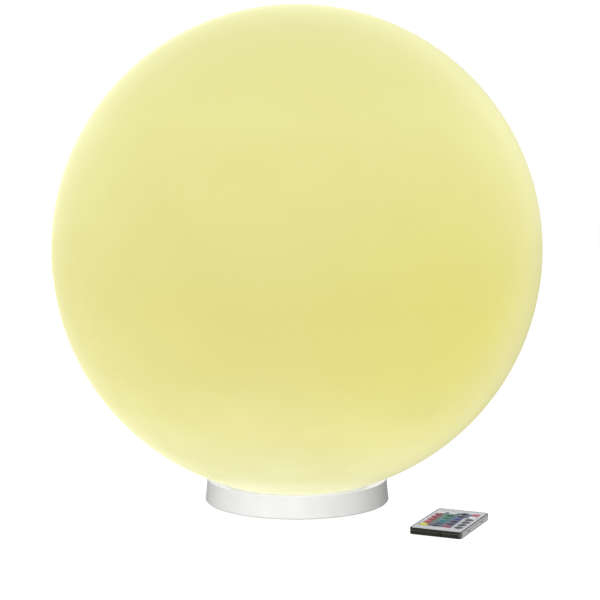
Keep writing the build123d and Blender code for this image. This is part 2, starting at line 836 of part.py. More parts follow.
def make_remote_bottom_case():
    """Lower case half with the tray's slot, the board's rests and the snap windows."""
    case = case_block(0, 0, parting_height)
    case = chamfer(case.edges().group_by(Axis.Z)[0], case_edge)
    case = chamfer(case.edges().group_by(Axis.Z)[-1], parting_bevel)
    case -= case_block(case_wall, case_floor, parting_height)
    slot = block(tray_width + 2 * tray_side_play, 4 * case_wall, case_floor, parting_height)
    case = less(case, [Pos(tray_x, tray_front, 0) * slot, emitter_way(), *snap_windows()])
    return plus(case, [place * disc(rest_radius, case_floor / 2, pcb_lift) for place in rest_places()])


def key_bars():
    """Bars between the keys that carry the film."""
    width = remote_width - 2 * case_wall
    length = remote_length - 2 * case_wall
    first_gap = key_first_row - key_row_pitch / 2
    rows = [Pos(0, first_gap + row * key_row_pitch, 0) for row in range(key_rows + 1)]
    columns = [Pos((column - key_columns / 2) * key_column_pitch, 0, 0) for column in range(1, key_columns)]
    row_bars = [place * block(width, row_bar, ledge_bottom, film_bottom) for place in rows]
    return row_bars + [place * block(column_bar, length, ledge_bottom, film_bottom) for place in columns]


def snap_hooks():
    """Hanging hooks inside the side walls, each with a tooth that reaches into its window."""
    inner = remote_width / 2 - case_wall - hook_play
    low = parting_height - hook_drop
    hooks = []
    for side in (-1, 1):
        arm = block(hook_thickness, hook_width, low, film_bottom)
        tooth = block(2 * tooth_reach, hook_width, low, low + tooth_height)
        hook = Pos(side * (inner - hook_thickness / 2), 0, 0) * arm + Pos(side * inner, 0, 0) * tooth
        hooks += [Pos(0, y, 0) * hook for y in (-hook_spread, hook_spread)]
    return hooks


def make_remote_top_case():
    """Upper case half: a rim round the film, bars under it, snap hooks, and clamps that hold the board."""
    case = case_block(0, parting_height, remote_thickness)
    case = chamfer(case.edges().group_by(Axis.Z)[0], parting_bevel)
    case = chamfer(case.edges().group_by(Axis.Z)[-1], case_edge)
    case -= case_block(case_wall, parting_height, ledge_bottom)
    case -= case_block(case_wall + ledge_reach, ledge_bottom, film_bottom)
    case -= case_block(rim_width, film_bottom, remote_thickness)
    case -= emitter_way()
    clamp = block(clamp_width, clamp_length, pcb_top, ledge_bottom)
    clamp_x = remote_width / 2 - case_wall - pcb_play - clamp_width / 2
    return plus(case, [*key_bars(), *snap_hooks(), *[place * clamp for place in grid(clamp_x, rest_spread)]])


def make_remote_overlay():
    """Printed film with a round hole for every key."""
    film = case_block(rim_width + film_play, film_bottom, film_bottom + film_thickness)
    return less(film, every_key(disc(key_radius + key_play, film_bottom, film_bottom + film_thickness)))


def make_remote_circuit_board():
    """Circuit board under the keys."""
    margin = 2 * (case_wall + pcb_play)
    return block(remote_width - margin, remote_length - margin, pcb_lift, pcb_top)


def make_snap_domes():
    """Eight-sided metal snap domes, one under each key."""
    dome = Pos(0, 0, pcb_top) * extrude(RegularPolygon(snap_radius, 8), snap_height)
    return Compound(children=every_key(dome))


def make_key():
    """Round key with a bevelled crown and two ears that keep it under the film."""
    key = disc(key_radius, key_bottom, key_top)
    key = chamfer(key.edges().sort_by(Axis.Z)[-1], key_crown)
    ear_length = 2 * (key_radius + key_ear_reach)
    return key + block(key_ear_width, ear_length, key_bottom, key_bottom + key_ear_height)


def make_ir_emitter():
    """Infra-red emitter lying at the far end, with two bent leads up to the board."""
    front = remote_length / 2 - emitter_sink
    back = front - emitter_length
    low = emitter_height - lead_thickness / 2
    body = Rot(90, 0, 0) * Cylinder(emitter_radius, emitter_length)
    body = Pos(0, (front + back) / 2, emitter_height) * body
    run = Pos(0, back - lead_reach / 2, 0) * block(lead_thickness, lead_reach, low, low + lead_thickness)
    rise = Pos(0, back - lead_reach, 0) * block(lead_thickness, lead_thickness, low, pcb_lift)
    return plus(body, [Pos(x, 0, 0) * (run + rise) for x in (-lead_spread / 2, lead_spread / 2)])


def make_battery_tray():
    """Slide-out tray: ring floor, round cell room, tall end wall with a finger notch, gap for the contact."""
    middle = tray_front + tray_length / 2
    tray = Pos(0, middle, 0) * block(tray_width, tray_length, tray_bottom, coin_top)
    end_wall = block(tray_width, tray_end_wall, tray_bottom, tray_bottom + tray_end_height)
    tray += Pos(0, tray_front + tray_end_wall / 2, 0) * end_wall
    tray -= Pos(0, coin_y, 0) * disc(coin_radius + coin_play, coin_bottom, coin_top)
    tray -= Pos(0, coin_y, 0) * disc(coin_radius - tray_lip, tray_bottom, coin_bottom)
    gap_length = tray_front + tray_length - coin_y
    gap = block(contact_width + 2 * coin_play, gap_length, coin_bottom, coin_top)
    tray -= Pos(0, coin_y + gap_length / 2, 0) * gap
    notch = disc(notch_radius, tray_bottom, tray_bottom + tray_end_height)
    return Pos(tray_x, 0, 0) * (tray - Pos(tray_width / 2, tray_front, 0) * notch)


def make_coin_cell():
    """Flat lithium cell in the tray."""
    return Pos(tray_x, coin_y, 0) * disc(coin_radius, coin_bottom, coin_top)


def make_cell_contacts():
    """Leaf over the cell and leaf against its edge, both under the board."""
    over = block(contact_width, contact_reach, coin_top + contact_gap, pcb_lift)
    over = Pos(0, contact_reach / 2, 0) * over
    edge_y = coin_radius + contact_gap + contact_thickness / 2
    edge = Pos(0, edge_y, 0) * block(contact_width, contact_thickness, coin_bottom + contact_gap, pcb_lift)
    return Pos(tray_x, coin_y, 0) * Compound(children=[over, edge])


# ---- All nodes ---------------------------------------------------------------------------------------------
def lamp_nodes():
    """Every node of the light itself."""
    return {
        "globe": make_globe(),
        "base_shell": make_base_shell(),
        "globe_gasket": make_globe_gasket(),
        "bottom_cover": make_bottom_cover(),
        "cover_seal": make_cover_seal(),
        "cover_screws": make_cover_screws(),
        "rubber_feet": make_rubber_feet(),
        "engine_housing": make_engine_housing(),
        "housing_seal": make_housing_seal(),
        "inner_screws": make_inner_screws(),
        "heat_spreader": make_heat_spreader(),
        "led_board": make_led_board(),
        "leds": make_leds(),
        "ir_receiver": make_ir_receiver(),
        "diffuser_dome": make_diffuser_dome(),
        "dome_seal": make_dome_seal(),
        "battery_cells": make_battery_cells(),
        "battery_cradle": make_battery_cradle(),
        "control_board": make_control_board(),
        "board_parts": make_board_parts(),
        "leads": make_leads(),
        "power_switch": make_power_switch(),
        "power_button": make_power_button(),
        "charge_jack": make_charge_jack(),
        "jack_cap": make_jack_cap(),
        "charge_light": make_charge_light(),
    }


def remote_nodes():
    """Every node of the hand remote, where it lies on the floor."""
    nodes = {
        "remote_top_case": make_remote_top_case(),
        "remote_bottom_case": make_remote_bottom_case(),
        "remote_overlay": make_remote_overlay(),
        "remote_circuit_board": make_remote_circuit_board(),
        "snap_domes": make_snap_domes(),
        "ir_emitter": make_ir_emitter(),
        "battery_tray": make_battery_tray(),
        "coin_cell": make_coin_cell(),
        "cell_contacts": make_cell_contacts(),
    }
    for names, places in zip(key_names, key_places()):
        for name, place in zip(names, places):
            nodes[f"key_{name}"] = place * make_key()
    lying = Pos(remote_x, remote_y, 0) * Rot(0, 0, remote_turn)
    return {name: lying * shape for name, shape in nodes.items()}


os.makedirs("parts", exist_ok=True)
for node_name, solid in {**lamp_nodes(), **remote_nodes()}.items():
    export_step(solid, f"parts/{node_name}.step")
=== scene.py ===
"""Looks of the garden globe light: a lit moulded ball on a low white foot, with its flat 24-key hand remote."""
import json
import math

import bmesh
import bpy
from mathutils import Matrix, Vector


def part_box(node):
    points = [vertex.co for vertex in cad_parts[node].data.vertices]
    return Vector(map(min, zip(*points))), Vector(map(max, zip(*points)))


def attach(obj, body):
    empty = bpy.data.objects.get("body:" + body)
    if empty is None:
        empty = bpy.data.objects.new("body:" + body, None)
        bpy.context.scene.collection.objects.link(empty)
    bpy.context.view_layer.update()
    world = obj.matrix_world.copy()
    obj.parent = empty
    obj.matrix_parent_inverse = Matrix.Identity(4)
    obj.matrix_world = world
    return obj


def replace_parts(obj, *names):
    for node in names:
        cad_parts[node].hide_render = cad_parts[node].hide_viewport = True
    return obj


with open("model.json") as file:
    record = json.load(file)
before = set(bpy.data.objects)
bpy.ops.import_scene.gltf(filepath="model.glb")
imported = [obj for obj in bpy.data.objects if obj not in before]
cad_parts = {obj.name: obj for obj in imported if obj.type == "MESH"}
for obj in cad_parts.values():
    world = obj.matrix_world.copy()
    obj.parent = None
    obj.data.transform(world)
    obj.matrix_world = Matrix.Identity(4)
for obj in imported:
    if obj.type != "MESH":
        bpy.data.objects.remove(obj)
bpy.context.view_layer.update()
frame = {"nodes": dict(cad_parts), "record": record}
nodes = frame["nodes"]
mm = 0.001

# ---- Camera: a level telephoto view from just above the ball's middle ----
picture_width = 600
focal_pixels = 1556.2
camera_place = Vector((0.0, -1.6, 0.3703))
camera_pitch = math.radians(5.77)
camera_yaw = math.radians(-0.11)

camera = bpy.data.objects.new("camera", bpy.data.cameras.new("camera"))
bpy.context.scene.collection.objects.link(camera)
bpy.context.scene.camera = camera
camera.data.lens = camera.data.sensor_width * focal_pixels / picture_width
camera.location = camera_place
camera.rotation_euler = (math.pi / 2 - camera_pitch, 0, camera_yaw)

# ---- Sizes, some read from the imported parts and some given ----
globe_low, globe_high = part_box("globe")
globe_radius = (globe_high.x - globe_low.x) / 2
film_low, film_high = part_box("remote_overlay")
rim_radius = 93.3 * mm
gasket_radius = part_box("globe_gasket")[1].x
lit_height = 12 * mm
screw_low, screw_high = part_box("cover_screws")
key_low, key_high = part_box("key_on")
key_radius = 4.15 * mm
key_pitch_x = 11.6 * mm
key_pitch_y = 10.7 * mm
first_row = -25.3 * mm
parting_height = 4.1 * mm
remote_turn = math.radians(-24.5)
remote_middle = Vector(((film_low.x + film_high.x) / 2, (film_low.y + film_high.y) / 2, 0))
remote_place = Matrix.Translation(remote_middle) @ Matrix.Rotation(remote_turn, 4, "Z")


# ---- Nodes and colours ----
def srgb(code):
    """A hex colour as the linear values that the nodes want."""
    channels = [int(code[i : i + 2], 16) / 255 for i in (1, 3, 5)]
    return (*[c / 12.92 if c <= 0.04045 else ((c + 0.055) / 1.055) ** 2.4 for c in channels], 1.0)


def add(tree, kind, settings=None, **inputs):
    """A new node with its settings, and each input either a value or another node's output."""
    made = tree.nodes.new(kind)
    for name, value in (settings or {}).items():
        setattr(made, name, value)
    for name, value in inputs.items():
        socket = made.inputs[int(name[1:]) if name[1:].isdigit() else name.replace("_", " ")]
        if isinstance(value, bpy.types.NodeSocket):
            tree.links.new(value, socket)
        else:
            socket.default_value = value
    return made


def blank(name, ior=1.5, metallic=0.0):
    """An empty material with its output and a Principled shader: the material, its nodes and the shader."""
    material = bpy.data.materials.new(name)
    material.use_nodes = True
    tree = material.node_tree
    tree.nodes.clear()
    shader = add(tree, "ShaderNodeBsdfPrincipled", IOR=ior, Metallic=metallic)
    add(tree, "ShaderNodeOutputMaterial", Surface=shader.outputs[0])
    return material, tree, shader


def grain(tree, size, detail=3.0, stretch=(1, 1, 1)):
    """A cloudy pattern on the object's own coordinates, its grain given in metres."""
    place = add(tree, "ShaderNodeTexCoord").outputs["Object"]
    place = add(tree, "ShaderNodeMapping", Vector=place, Scale=stretch).outputs[0]
    return add(tree, "ShaderNodeTexNoise", Vector=place, Scale=1 / size, Detail=detail).outputs[0]


def drift(tree, pattern, first, second, reach=1.0, start=0.3, end=0.7):
    """A colour that moves from a first tone towards a second as a pattern rises."""
    factor = add(tree, "ShaderNodeMapRange", i0=pattern, i1=start, i2=end, i3=0.0, i4=reach).outputs[0]
    return add(tree, "ShaderNodeMix", {"data_type": "RGBA"}, i0=factor, i6=first, i7=second).outputs[2]


def skin(tree, shader, fine, smoothest, roughest, depth):
    """Gives the surface an uneven gloss and a raised grain that follow one fine pattern."""
    gloss = add(tree, "ShaderNodeMapRange", i0=fine, i1=0.3, i2=0.7, i3=smoothest, i4=roughest).outputs[0]
    tree.links.new(gloss, shader.inputs["Roughness"])
    raised = add(tree, "ShaderNodeBump", Height=fine, Distance=depth, Strength=1.0).outputs[0]
    tree.links.new(raised, shader.inputs["Normal"])


def tones(tree, value, low, high, stops):
    """Colours that follow each other as a value goes from low to high, as places from 0 to 1 and hex codes."""
    along = add(tree, "ShaderNodeMapRange", i0=value, i1=low, i2=high, i3=0.0, i4=1.0).outputs[0]
    ramp = add(tree, "ShaderNodeValToRGB", i0=along)
    while len(ramp.color_ramp.elements) < len(stops):
        ramp.color_ramp.elements.new(0.5)
    for element, (position, code) in zip(ramp.color_ramp.elements, stops):
        element.position = position
        element.color = srgb(code)
    return ramp.outputs[0]


def moulded(name, colour, second, ior, roughness, size, depth, metallic=0.0, swing=0.06, stretch=(1, 1, 1)):
    """A finish with a slow drift between two near colours, an uneven gloss and a fine raised grain."""
    material, tree, shader = blank(name, ior, metallic)
    slow = grain(tree, 14 * size, 2.0)
    tree.links.new(drift(tree, slow, srgb(colour), srgb(second)), shader.inputs["Base Color"])
    skin(tree, shader, grain(tree, size, stretch=stretch), roughness - swing, roughness + swing, depth)
    return material


# ---- Finishes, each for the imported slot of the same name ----
def rotomoulded_polyethylene():
    """Rotationally moulded polyethylene, translucent and lit from within. It has a soft satin skin with the
    faint orange peel of the mould, glows a pale warm yellow, a little deeper round its middle where the wall is
    farthest from the light unit, and whiter low down, near the light."""
    material, tree, shader = blank("rotomoulded_polyethylene")
    patch_core, patch_edge = 20 * mm, 200 * mm
    place = add(tree, "ShaderNodeTexCoord").outputs["Object"]
    height = add(tree, "ShaderNodeSeparateXYZ", Vector=place).outputs["Z"]
    tone = tones(tree, height, 0.0, 2 * globe_radius, (
        (0.03, "#d7d59f"),
        (0.12, "#ebe8aa"),
        (0.21, "#e9e59a"),
        (0.32, "#dfd884"),
        (0.44, "#dbd47d"),
        (0.56, "#dbd783"),
        (0.78, "#e0de8d"),
        (0.98, "#d5d381"),
    ))
    # painted light: the two paler patches are painted sheen at the ball's left and right edges as seen from the
    # front, and the deeper one darkens the lower right front a little; each fades out over two hands' breadths
    for middle, reach, code in (
        ((0.17, -0.17, 0.19), 0.6, "#e2dc60"),
        ((-0.21, -0.11, 0.17), 0.4, "#f6f59e"),
        ((0.24, 0.02, 0.17), 0.55, "#f8f6cc"),
    ):
        away = add(tree, "ShaderNodeVectorMath", {"operation": "DISTANCE"}, i0=place, i1=middle).outputs["Value"]
        tone = drift(tree, away, tone, srgb(code), reach, patch_edge, patch_core)
    # wall thickness drifts by a few tenths of a millimetre over some centimetres
    tone = drift(tree, grain(tree, 55 * mm, 2.0), tone, srgb("#d9d27a"), 0.35)
    speckle = grain(tree, 2.2 * mm, 2.0)
    tone = drift(tree, speckle, tone, srgb("#fdfbd8"), 0.05)
    tree.links.new(tone, shader.inputs["Emission Color"])
    shader.inputs["Emission Strength"].default_value = 1.0
    shader.inputs["Base Color"].default_value = srgb("#38372a")
    shader.inputs["Sheen Weight"].default_value = 0.55
    shader.inputs["Sheen Roughness"].default_value = 0.5
    shader.inputs["Sheen Tint"].default_value = srgb("#fdfbe0")
    skin(tree, shader, speckle, 0.34, 0.42, 0.05 * mm)
    return material


def painted_ball_light(material, inner, outer, strength):
    """Painted light on what lies close under the ball: an emission for its glow, between two distances from the axis
    and above a height.
    """
    tree = material.node_tree
    shader = next(node for node in tree.nodes if node.type == "BSDF_PRINCIPLED")
    place = add(tree, "ShaderNodeTexCoord").outputs["Object"]
    flat = add(tree, "ShaderNodeVectorMath", {"operation": "MULTIPLY"}, i0=place, i1=(1, 1, 0)).outputs[0]
    away = add(tree, "ShaderNodeVectorMath", {"operation": "LENGTH"}, i0=flat).outputs["Value"]
    height = add(tree, "ShaderNodeSeparateXYZ", Vector=place).outputs["Z"]
    lit = strength
    for compare, value, bound in (
        ("GREATER_THAN", away, inner),
        ("LESS_THAN", away, outer),
        ("GREATER_THAN", height, lit_height),
    ):
        inside = add(tree, "ShaderNodeMath", {"operation": compare}, i0=value, i1=bound).outputs[0]
        lit = add(tree, "ShaderNodeMath", {"operation": "MULTIPLY"}, i0=inside, i1=lit).outputs[0]
    shader.inputs["Emission Color"].default_value = srgb("#fbf9dc")
    tree.links.new(lit, shader.inputs["Emission Strength"])
    return material


def remote_abs():
    """Black ABS case, moulded with a fine spark-eroded skin, and a painted highlight along the joint as a paler line.
    """
    material, tree, shader = blank("moulded_black_abs", 1.54)
    place = add(tree, "ShaderNodeTexCoord").outputs["Object"]
    height = add(tree, "ShaderNodeSeparateXYZ", Vector=place).outputs["Z"]
    away = add(tree, "ShaderNodeMath", {"operation": "SUBTRACT"}, i0=height, i1=parting_height).outputs[0]
    away = add(tree, "ShaderNodeMath", {"operation": "ABSOLUTE"}, i0=away).outputs[0]
    fine = grain(tree, 0.5 * mm)
    dark = drift(tree, fine, srgb("#1d1f1a"), srgb("#2a2c26"))
    # painted highlight: the paler band within a few tenths of a millimetre of the joint's height stands in for light
    # on the joint
    tree.links.new(drift(tree, away, srgb("#5b5d56"), dark, 1.0, 0.15 * mm, 0.4 * mm), shader.inputs["Base Color"])
    skin(tree, shader, fine, 0.22, 0.32, 0.01 * mm)
    return material


def printed_patch(tree, axes, low_x, high_x, low_y, high_y):
    """One inside a rectangle of the print and nought outside it, with an edge as soft as screen ink's."""
    soft = 0.12 * mm
    inside = 1.0
    for value, low, high in ((axes["X"], low_x, high_x), (axes["Y"], low_y, high_y)):
        for edge, before in ((low, 0.0), (high, 1.0)):
            step = add(tree, "ShaderNodeMapRange", i0=value, i1=edge - soft, i2=edge + soft, i3=before, i4=1 - before)
            inside = add(tree, "ShaderNodeMath", {"operation": "MULTIPLY"}, i0=inside, i1=step.outputs[0]).outputs[0]
    return inside


def printed_ring(tree, place, middle, inner, outer):
    """One inside a printed ring and nought outside it."""
    soft = 0.15 * mm
    away = add(tree, "ShaderNodeVectorMath", {"operation": "DISTANCE"}, i0=place, i1=middle).outputs["Value"]
    rise = add(tree, "ShaderNodeMapRange", i0=away, i1=inner - soft, i2=inner + soft, i3=0.0, i4=1.0).outputs[0]
    fall = add(tree, "ShaderNodeMapRange", i0=away, i1=outer - soft, i2=outer + soft, i3=1.0, i4=0.0).outputs[0]
    return add(tree, "ShaderNodeMath", {"operation": "MULTIPLY"}, i0=rise, i1=fall).outputs[0]


def printed_film():
    """Polyester film, screen printed silver-grey with a dark field round the colour keys. The field's ink takes
    a tint from the keys beside it, and the film is flat with a satin gloss."""
    material, tree, shader = blank("screen_printed_polyester", 1.57)
    place = add(tree, "ShaderNodeTexCoord").outputs["Object"]
    place = add(tree, "ShaderNodeMapping", {"vector_type": "TEXTURE"}, Vector=place,
                Location=(*remote_middle.xy, film_high.z), Rotation=(0, 0, remote_turn)).outputs[0]
    axes = add(tree, "ShaderNodeSeparateXYZ", Vector=place).outputs
    tall = printed_patch(tree, axes, -18.0 * mm, 10.9 * mm, -29.6 * mm, 29.6 * mm)
    wide = printed_patch(tree, axes, 0.0, 18.6 * mm, 12.4 * mm, 29.6 * mm)
    field = add(tree, "ShaderNodeMath", {"operation": "MAXIMUM"}, i0=tall, i1=wide).outputs[0]
    # dark rings round the yellow and the white key, and narrow ones round the four grey keys
    for column, row, width in ((0, 0, 1.1), (3, 4, 0.8), (3, 0, 0.4), (3, 1, 0.4), (3, 2, 0.4), (3, 3, 0.4)):
        middle = ((column - 1.5) * key_pitch_x, first_row + row * key_pitch_y, 0)
        ring = printed_ring(tree, place, middle, key_radius - 1 * mm, key_radius + width * mm)
        field = add(tree, "ShaderNodeMath", {"operation": "MAXIMUM"}, i0=field, i1=ring).outputs[0]
    ink = tones(tree, axes["X"], -18 * mm, 18 * mm, (
        (0.02, "#74484c"),
        (0.09, "#6a5450"),
        (0.17, "#54786f"),
        (0.33, "#386a60"),
        (0.50, "#38626f"),
        (0.68, "#46597f"),
        (0.80, "#5c5f7c"),
        (0.95, "#66666c"),
    ))
    ink = drift(tree, axes["Y"], srgb("#544f62"), ink, 1.0, -28 * mm, 2 * mm)
    flake = grain(tree, 0.35 * mm)
    silver = drift(tree, flake, srgb("#bebfc2"), srgb("#cccdcf"))
    tree.links.new(drift(tree, field, silver, ink, 1.0, 0.0, 1.0), shader.inputs["Base Color"])
    skin(tree, shader, flake, 0.36, 0.44, 0.005 * mm)
    return material


def key_finish(name, colour):
    """Clear-coated printed polyester, domed and glossy, its ink a shade darker in places."""
    material, tree, shader = blank(f"embossed_polyester_{name}", 1.57)
    fine = grain(tree, 0.6 * mm)
    darker = tuple(0.86 * channel for channel in srgb(colour)[:3]) + (1.0,)
    tree.links.new(drift(tree, fine, srgb(colour), darker), shader.inputs["Base Color"])
    skin(tree, shader, fine, 0.16, 0.22, 0.003 * mm)
    shader.inputs["Specular IOR Level"].default_value = 0.4
    shader.inputs["Coat Weight"].default_value = 0.35
    shader.inputs["Coat Roughness"].default_value = 0.08
    return material


finishes = {
    # foot, moulded ABS with a satin polish: broad soft highlights, a trace of unevenness, and painted light from the
    # ball on the coned seat under it
    "white_abs": painted_ball_light(moulded("satin_moulded_abs", "#f1f1ee", "#ecece8", 1.54, 0.36, 1.2 * mm, 0.012 * mm),
                           0.0, rim_radius - 0.4 * mm, 0.1),
    # cover, ABS from a spark-eroded mould: matte, with a sandy grain
    "cover_abs": moulded("textured_moulded_abs", "#e6e6e2", "#dededa", 1.54, 0.6, 0.6 * mm, 0.06 * mm),
    # seals, moulded silicone: dull and slightly cloudy, and painted light from the ball on the top of the ring under
    # it
    "silicone": painted_ball_light(moulded("moulded_silicone", "#d9d9d4", "#cfcfc9", 1.41, 0.55, 0.8 * mm, 0.02 * mm),
                          gasket_radius - 4 * mm, gasket_radius + 1 * mm, 0.2),
    # feet, moulded rubber: dark, dull and a little dusty
    "foot_rubber": moulded("moulded_rubber", "#343434", "#434241", 1.52, 0.75, 0.5 * mm, 0.04 * mm),
    # screws, zinc-plated steel: bright, with a faint tumble-plated grain
    "zinc_steel": moulded("zinc_plated_steel", "#c3c6ca", "#b3b6ba", 1.5, 0.28, 0.3 * mm, 0.01 * mm, 1.0),
    # housing, plain moulded ABS
    "housing_abs": moulded("plain_moulded_abs", "#dcdcd8", "#d2d2ce", 1.54, 0.5, 1.0 * mm, 0.02 * mm),
    # spreader, milled aluminium: fine lines one way
    "aluminium": moulded("milled_aluminium", "#c3c5c8", "#b2b4b7", 1.5, 0.35, 0.4 * mm, 0.02 * mm, 1.0, 0.08,
                         (1, 0.05, 1)),
    # light board, white solder mask: even, glossy
    "board_white": moulded("white_solder_mask", "#eeeee8", "#e6e6e0", 1.55, 0.3, 0.5 * mm, 0.01 * mm),
    # light packages, phosphor under clear silicone
    "led_package": moulded("phosphor_silicone", "#f0d972", "#e8cc5e", 1.5, 0.3, 0.2 * mm, 0.01 * mm),
    # receiver and emitter, dark epoxy that passes infra-red: glassy, almost black
    "dark_epoxy": moulded("dark_cast_epoxy", "#1b1420", "#24192c", 1.55, 0.12, 0.5 * mm, 0.003 * mm, 0.0, 0.03),
    # dome, opal polycarbonate: milky and satin
    "opal_polycarbonate": moulded("opal_polycarbonate", "#f5f4ee", "#eeede6", 1.58, 0.4, 1.0 * mm, 0.01 * mm),
    # cells, shrunk PVC sleeve: thin glossy skin with faint wrinkles
    "cell_sleeve": moulded("shrunk_pvc_sleeve", "#3c6fae", "#3463a0", 1.53, 0.3, 1.5 * mm, 0.04 * mm),
    # cradle, plain black ABS
    "black_abs": moulded("plain_black_abs", "#232323", "#2b2b2b", 1.54, 0.5, 0.8 * mm, 0.02 * mm),
    # boards, green solder mask over copper
    "board_green": moulded("green_solder_mask", "#1f5a36", "#17482b", 1.55, 0.3, 0.9 * mm, 0.015 * mm),
    # board parts, moulded epoxy packages
    "components": moulded("moulded_epoxy", "#2b2b2c", "#363637", 1.55, 0.55, 0.3 * mm, 0.015 * mm),
    # leads, extruded PVC
    "lead_pvc": moulded("extruded_pvc", "#2a2a2a", "#343434", 1.53, 0.4, 0.6 * mm, 0.01 * mm),
    # switch, nickel-plated brass: warm bright metal
    "switch_nickel": moulded("nickel_plated_brass", "#c9c6bf", "#bcb9b1", 1.5, 0.24, 0.3 * mm, 0.008 * mm, 1.0),
    # button, moulded ABS with a satin face
    "button_abs": moulded("satin_button_abs", "#303234", "#393b3d", 1.54, 0.35, 0.5 * mm, 0.01 * mm),
    # socket, black moulded nylon
    "jack_black": moulded("moulded_nylon", "#1d1d1f", "#27272a", 1.53, 0.4, 0.5 * mm, 0.01 * mm),
    # socket's cap, soft silicone
    "cap_silicone": moulded("soft_silicone", "#cfcfca", "#c5c5bf", 1.41, 0.6, 0.6 * mm, 0.02 * mm),
    # light guide, moulded acrylic: clear and polished
    "guide_acrylic": moulded("polished_acrylic", "#dfeae6", "#d6e2de", 1.49, 0.08, 1.0 * mm, 0.002 * mm, 0.0, 0.02),
    # snap domes, pressed stainless steel
    "dome_steel": moulded("pressed_stainless_steel", "#c9cbcd", "#babcbe", 1.5, 0.22, 0.3 * mm, 0.008 * mm, 1.0),
    # coin cell, nickel-plated steel can
    "coin_steel": moulded("nickel_plated_steel", "#c6c8cb", "#b9bbbe", 1.5, 0.25, 0.3 * mm, 0.01 * mm, 1.0),
    # contacts, rolled brass strip
    "contact_brass": moulded("rolled_brass", "#c9a45c", "#bd9850", 1.5, 0.25, 0.3 * mm, 0.01 * mm, 1.0, 0.08,
                             (1, 0.05, 1)),
    "globe_polyethylene": rotomoulded_polyethylene(),
    "remote_abs": remote_abs(),
    "overlay_film": printed_film(),
}

key_rows = (  # nearest row first, left to right: each key's name and the colour of its dome
    (("yellow", "#cfd02c"), ("navy", "#1c2438"), ("magenta", "#8a3560"), ("smooth", "#3f4447")),
    (("orange", "#a8453c"), ("steel_blue", "#24506a"), ("purple", "#3f2f40"), ("fade", "#44484b")),
    (("red_orange", "#98303c"), ("teal", "#187a84"), ("indigo", "#1e244a"), ("strobe", "#4a4e57")),
    (("scarlet", "#8f2c42"), ("leaf_green", "#256c50"), ("violet", "#343a7a"), ("flash", "#52555d")),
    (("red", "#85203a"), ("green", "#174a3a"), ("blue", "#1e2b3c"), ("white", "#e2e2e4")),
    (("brighter", "#dededf"), ("dimmer", "#d6d8da"), ("off", "#121215"), ("on", "#b84a66")),
)
for row in key_rows:
    for name, colour in row:
        finishes[f"key_{name}"] = key_finish(name, colour)
light_ink = key_finish("light_ink", "#f4f4f4")
dark_ink = key_finish("dark_ink", "#2c2c30")

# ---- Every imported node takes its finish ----
for entry in frame["record"]["subparts"]:
    data = nodes[entry["node"]].data
    data.materials.clear()
    data.materials.append(finishes[entry["material_slot"]])


# ---- New pieces ----
def piece(name, bm, material, body):
    """A finished mesh that rides on a body."""
    data = bpy.data.meshes.new(name)
    bm.to_mesh(data)
    bm.free()
    made = bpy.data.objects.new(name, data)
    bpy.context.scene.collection.objects.link(made)
    data.materials.append(material)
    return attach(made, body)


def key_middle(row, column):
    """Where a key stands on the floor plan, turned as the remote is."""
    return remote_place @ Matrix.Translation(((column - 1.5) * key_pitch_x, first_row + row * key_pitch_y, 0))


crown_rise = 1.15 * mm
crown_foot = key_high.z - 0.75 * mm
crown_edge = 4.1 * mm
crown_radius = (crown_edge**2 + crown_rise**2) / (2 * crown_rise)


def crown_height(reach):
    """Height of the domed key at a distance from its middle."""
    return crown_foot + crown_rise - crown_radius + math.sqrt(crown_radius**2 - reach**2)


def key_dome(name, place, material):
    """A domed key, spun from its half section."""
    bm = bmesh.new()
    steps = 10
    section = [(0, key_low.z), (key_radius, key_low.z), (key_radius, crown_foot - 0.05 * mm)]
    section += [(crown_edge * (1 - i / steps), crown_height(crown_edge * (1 - i / steps))) for i in range(steps + 1)]
    points = [bm.verts.new((x, 0, z)) for x, z in section]
    edges = [bm.edges.new(pair) for pair in zip(points, points[1:])]
    bmesh.ops.spin(bm, geom=points + edges, axis=(0, 0, 1), cent=(0, 0, 0), angle=2 * math.pi, steps=40,
                   use_merge=True)
    bmesh.ops.remove_doubles(bm, verts=bm.verts, dist=1e-6)
    bmesh.ops.recalc_face_normals(bm, faces=bm.faces)
    for face in bm.faces:
        face.smooth = face.normal.z > 0.2 or abs(face.normal.z) < 0.1
    bmesh.ops.transform(bm, matrix=place, verts=bm.verts)
    made = piece(f"dome_{name}", bm, material, f"key_{name}")
    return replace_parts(made, f"key_{name}")


ink_thickness = 0.03 * mm


def lay_print(bm, name, place, material):
    """Drapes a flat mark, drawn round the origin in metres, over its key's dome as a thin closed skin."""
    long_edges = [edge for edge in bm.edges if edge.calc_length() > 0.5 * mm]
    bmesh.ops.subdivide_edges(bm, edges=long_edges, cuts=2, use_grid_fill=True)
    bmesh.ops.triangulate(bm, faces=bm.faces)
    for vertex in bm.verts:
        vertex.co.z = crown_height(vertex.co.xy.length) + (ink_thickness if vertex.co.z > 0 else -ink_thickness)
    bmesh.ops.recalc_face_normals(bm, faces=bm.faces)
    bmesh.ops.transform(bm, matrix=place, verts=bm.verts)
    return piece(f"mark_{name}", bm, material, f"key_{name}")


def sun_mark(name, place, spread):
    """A printed sun: a disc with eight rays, which reach farther for the brighter setting."""
    bm = bmesh.new()
    bmesh.ops.create_cone(bm, cap_ends=True, segments=20, radius1=0.85 * mm, radius2=0.85 * mm, depth=1 * mm)
    for turn in range(8):
        ray = bmesh.ops.create_cube(bm, size=1.0)["verts"]
        bmesh.ops.scale(bm, vec=(spread, 0.3 * mm, 1 * mm), verts=ray)
        bmesh.ops.translate(bm, vec=(1.25 * mm + spread / 2, 0, 0), verts=ray)
        bmesh.ops.rotate(bm, cent=(0, 0, 0), matrix=Matrix.Rotation(turn * math.pi / 4, 3, "Z"), verts=ray)
    return lay_print(bm, name, place, dark_ink)


